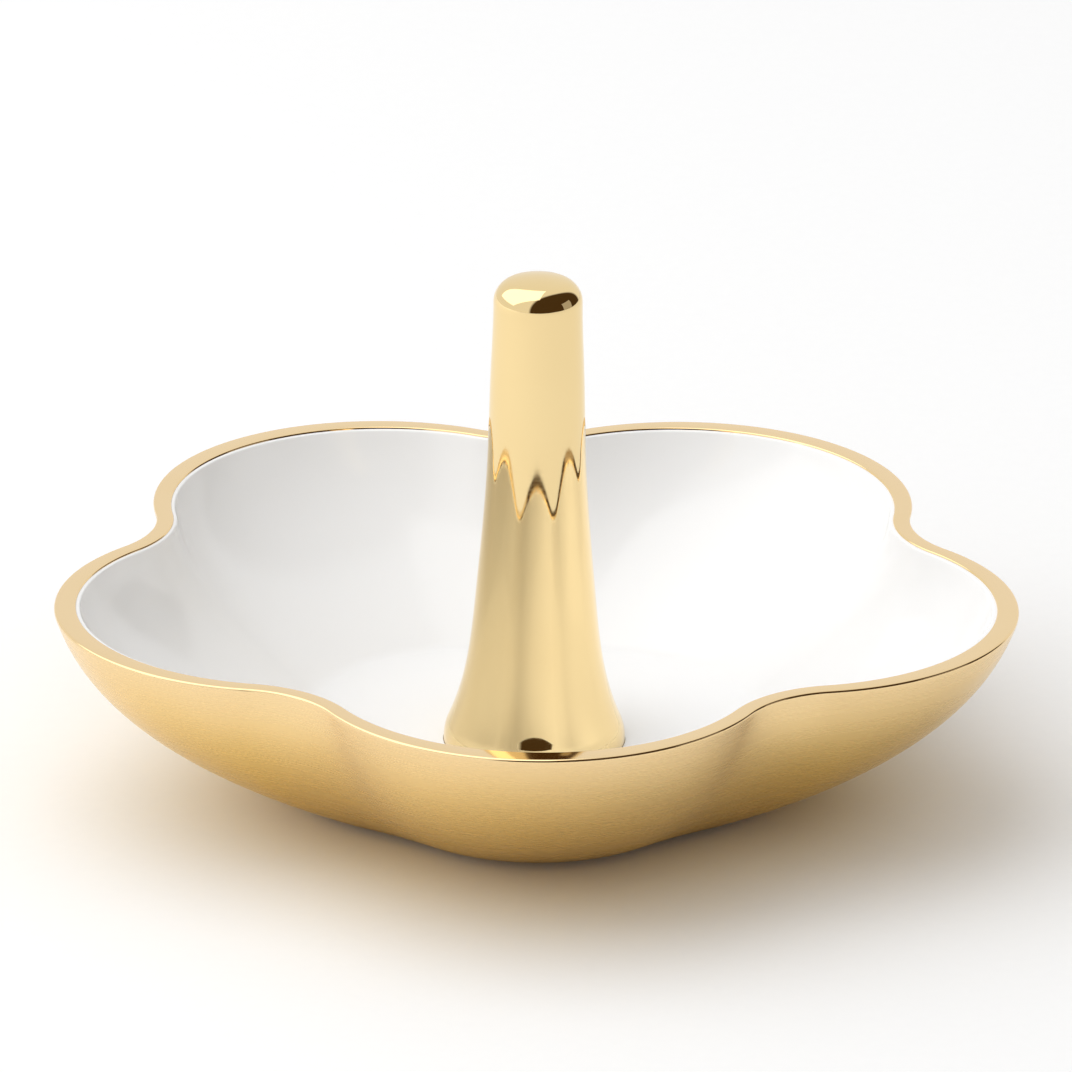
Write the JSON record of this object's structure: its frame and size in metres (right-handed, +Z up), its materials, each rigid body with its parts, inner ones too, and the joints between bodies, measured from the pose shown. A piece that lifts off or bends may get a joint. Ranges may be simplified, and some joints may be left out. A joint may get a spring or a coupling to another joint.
{
  "type": "ring dish",
  "caption": "Shallow flower-shaped metal dish with a white enamel inside, a flat gold rim and a flared upright post that holds finger rings.",
  "frame": {"origin": "centre of the felt pad's underside, on the axis of the post, on the surface the dish stands on", "axes": "+Z up along the post, -Y through the middle of the lobe that faces the viewer, +X to the viewer's right"},
  "size_m": [0.1142, 0.1113, 0.0636],
  "materials": {
    "dish_metal": "satin brushed outside with a polished rim, gold plated",
    "enamel": "gloss white enamel",
    "post_metal": "mirror polished, gold plated",
    "screw_steel": "plain zinc plated steel",
    "pad_felt": "black pressed felt"
  },
  "bodies": {
    "root": {"dish_shell": "dish_metal", "enamel_lining": "enamel", "ring_post": "post_metal", "post_screw": "screw_steel", "base_pad": "pad_felt"}
  },
  "joints": []
}
